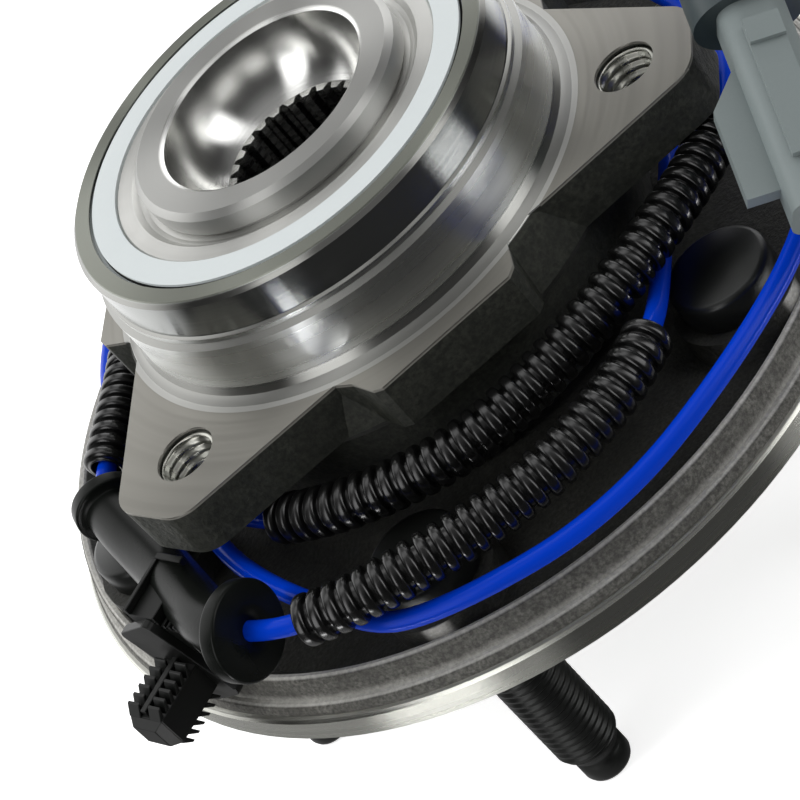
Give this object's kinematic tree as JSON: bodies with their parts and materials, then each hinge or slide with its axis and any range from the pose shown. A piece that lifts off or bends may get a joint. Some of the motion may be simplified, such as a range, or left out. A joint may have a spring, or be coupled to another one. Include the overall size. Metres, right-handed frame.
{
  "type": "wheel hub bearing",
  "caption": "Driven wheel hub bearing unit: flanged outer ring, turning hub with wheel studs, sealed ball rows and a wheel-speed sensor lead ending in a connector.",
  "frame": {"origin": "where the hub axis crosses the face that the wheel is bolted against", "axes": "+Z along the hub axis, pointing inboard to the knuckle; the wheel is on the -Z side; +X and +Y lie in the wheel face"},
  "size_m": [0.1597, 0.1587, 0.1044],
  "materials": {
    "hub_steel": "machined and forged steel, wheel flange band and ridges bright, valley dark",
    "stud_steel": "black oxide steel",
    "ring_steel": "ground and turned bearing steel with dark forged flange sides",
    "race_steel": "ground bearing steel",
    "ball_steel": "polished bearing steel",
    "cage_polymer": "moulded polyamide",
    "seal_steel": "pressed stainless sheet",
    "seal_rubber": "nitrile rubber",
    "tone_steel": "sintered steel",
    "sensor_plastic": "moulded black polyamide",
    "screw_steel": "zinc plated steel",
    "lead_jacket": "glossy blue cable jacket",
    "conduit_plastic": "glossy black corrugated conduit",
    "grommet_rubber": "black moulded rubber",
    "clip_plastic": "moulded black polyamide",
    "connector_plastic": "moulded grey polyamide",
    "terminal_metal": "tin plated brass",
    "boot_rubber": "dark blue grey rubber"
  },
  "bodies": {
    "outer_ring": {"outer_ring": "ring_steel", "seal_case_inboard": "seal_steel", "seal_lip_inboard": "seal_rubber", "seal_case_outboard": "seal_steel", "seal_lip_outboard": "seal_rubber", "sensor_body": "sensor_plastic", "sensor_o_ring": "seal_rubber", "sensor_screw": "screw_steel", "sensor_lead": "lead_jacket", "conduit_short": "conduit_plastic", "conduit_lower": "conduit_plastic", "conduit_upper": "conduit_plastic", "lead_grommet": "grommet_rubber", "harness_clip": "clip_plastic", "connector_body": "connector_plastic", "connector_terminals": "terminal_metal", "connector_boot": "boot_rubber"},
    "hub": {"wheel_hub": "hub_steel", "wheel_studs": "stud_steel", "inner_ring": "race_steel", "tone_ring": "tone_steel", "seal_slinger_inboard": "seal_steel", "seal_slinger_outboard": "seal_steel"},
    "row_inboard": {"balls_inboard": "ball_steel", "cage_inboard": "cage_polymer"},
    "row_outboard": {"balls_outboard": "ball_steel", "cage_outboard": "cage_polymer"},
    "latch": {"connector_latch": "connector_plastic"}
  },
  "joints": [
    {"name": "hub_spin", "type": "hinge", "parent": "outer_ring", "child": "hub", "pos_m": [0, 0, 0], "axis": [0, 0, 1], "continuous": true},
    {"name": "row_inboard_spin", "type": "hinge", "parent": "outer_ring", "child": "row_inboard", "pos_m": [0, 0, 0.0503], "axis": [0, 0, 1], "continuous": true},
    {"name": "row_outboard_spin", "type": "hinge", "parent": "outer_ring", "child": "row_outboard", "pos_m": [0, 0, 0.0226], "axis": [0, 0, 1], "continuous": true},
    {"name": "latch_lift", "type": "hinge", "parent": "outer_ring", "child": "latch", "pos_m": [0.06044, -0.05577, 0.04854], "axis": [-0.9105, 0.2437, 0.3339], "range_deg": [0, 4], "stiffness_Nm_per_rad": 0.05}
  ],
  "couplings": [
    {"joint": "row_inboard_spin", "follows": "hub_spin", "ratio": 0.42},
    {"joint": "row_outboard_spin", "follows": "hub_spin", "ratio": 0.42}
  ]
}
